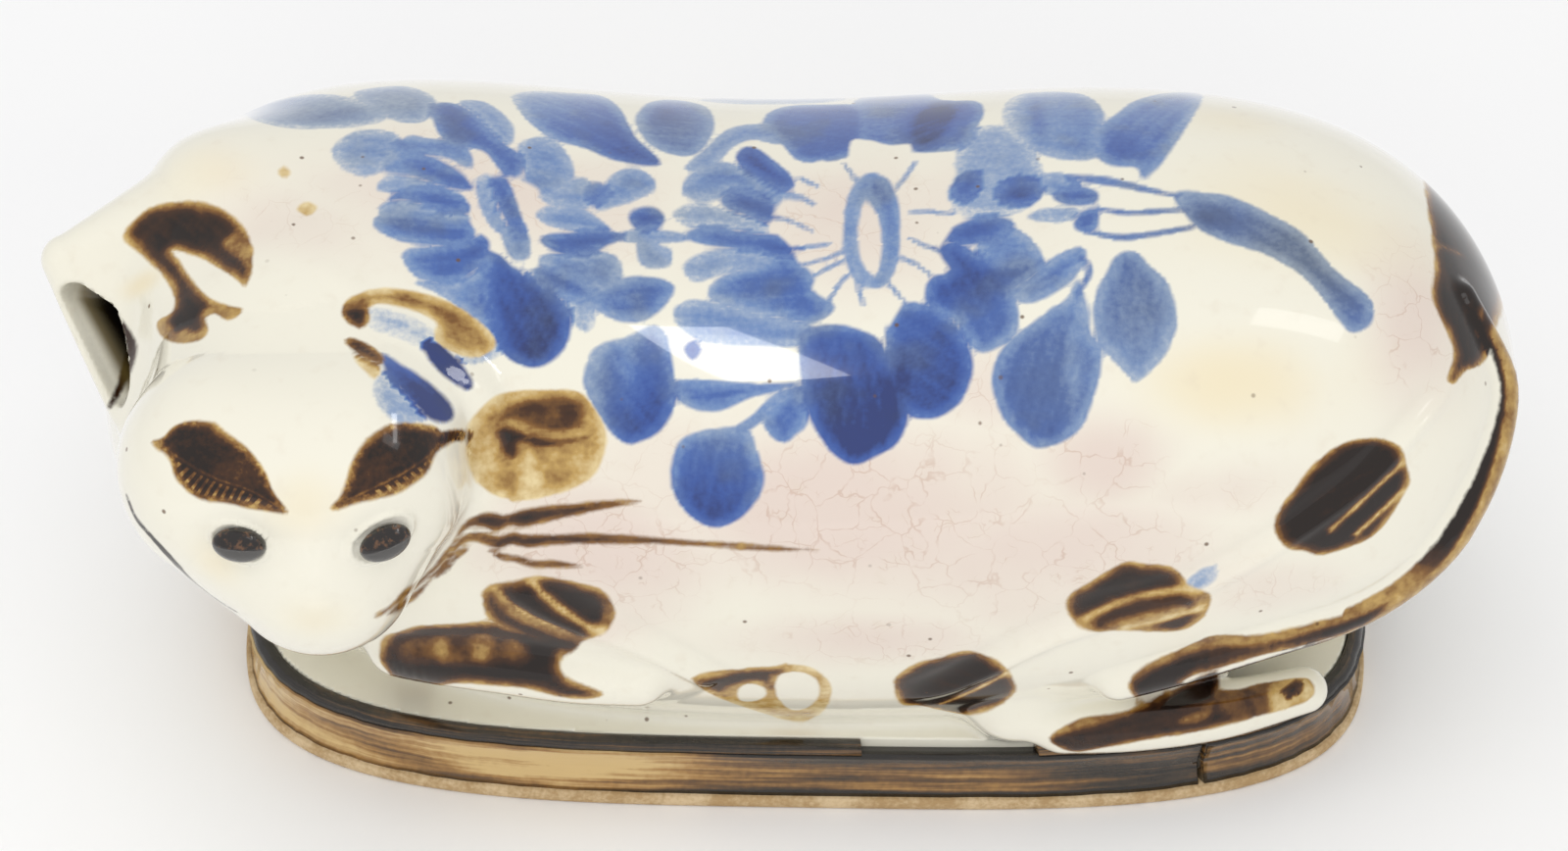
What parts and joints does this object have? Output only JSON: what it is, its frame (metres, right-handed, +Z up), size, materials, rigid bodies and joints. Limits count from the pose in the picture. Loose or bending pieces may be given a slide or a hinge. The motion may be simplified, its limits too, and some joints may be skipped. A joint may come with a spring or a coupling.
{
  "type": "ceramic cat pillow",
  "caption": "Hollow glazed ceramic pillow shaped as a cat lying on an oval plinth, its back dipped to take the neck, painted with blue flowers and brown spots.",
  "frame": {"origin": "on the table, under the middle of the plinth", "axes": "+X along the body from the chest to the rump, -Y to the side the face looks to, +Z up"},
  "size_m": [0.2824, 0.1411, 0.1173],
  "materials": {
    "cream_glaze": "glossy cream glaze with painted flowers and spots",
    "iron_glaze": "glossy dark brown iron glaze",
    "amber_glaze": "glossy streaked amber-brown glaze",
    "bare_clay": "unglazed fired clay"
  },
  "bodies": {
    "root": {"base_slab": "bare_clay", "plinth_ring": "cream_glaze", "foot_band": "amber_glaze", "rim_coil": "iron_glaze", "front_shell": "cream_glaze", "back_shell": "cream_glaze", "head": "cream_glaze", "open_ear": "cream_glaze", "folded_ear": "cream_glaze", "left_eye": "iron_glaze", "right_eye": "iron_glaze", "foreleg": "iron_glaze", "hind_foot": "iron_glaze", "tail": "iron_glaze"}
  },
  "joints": []
}
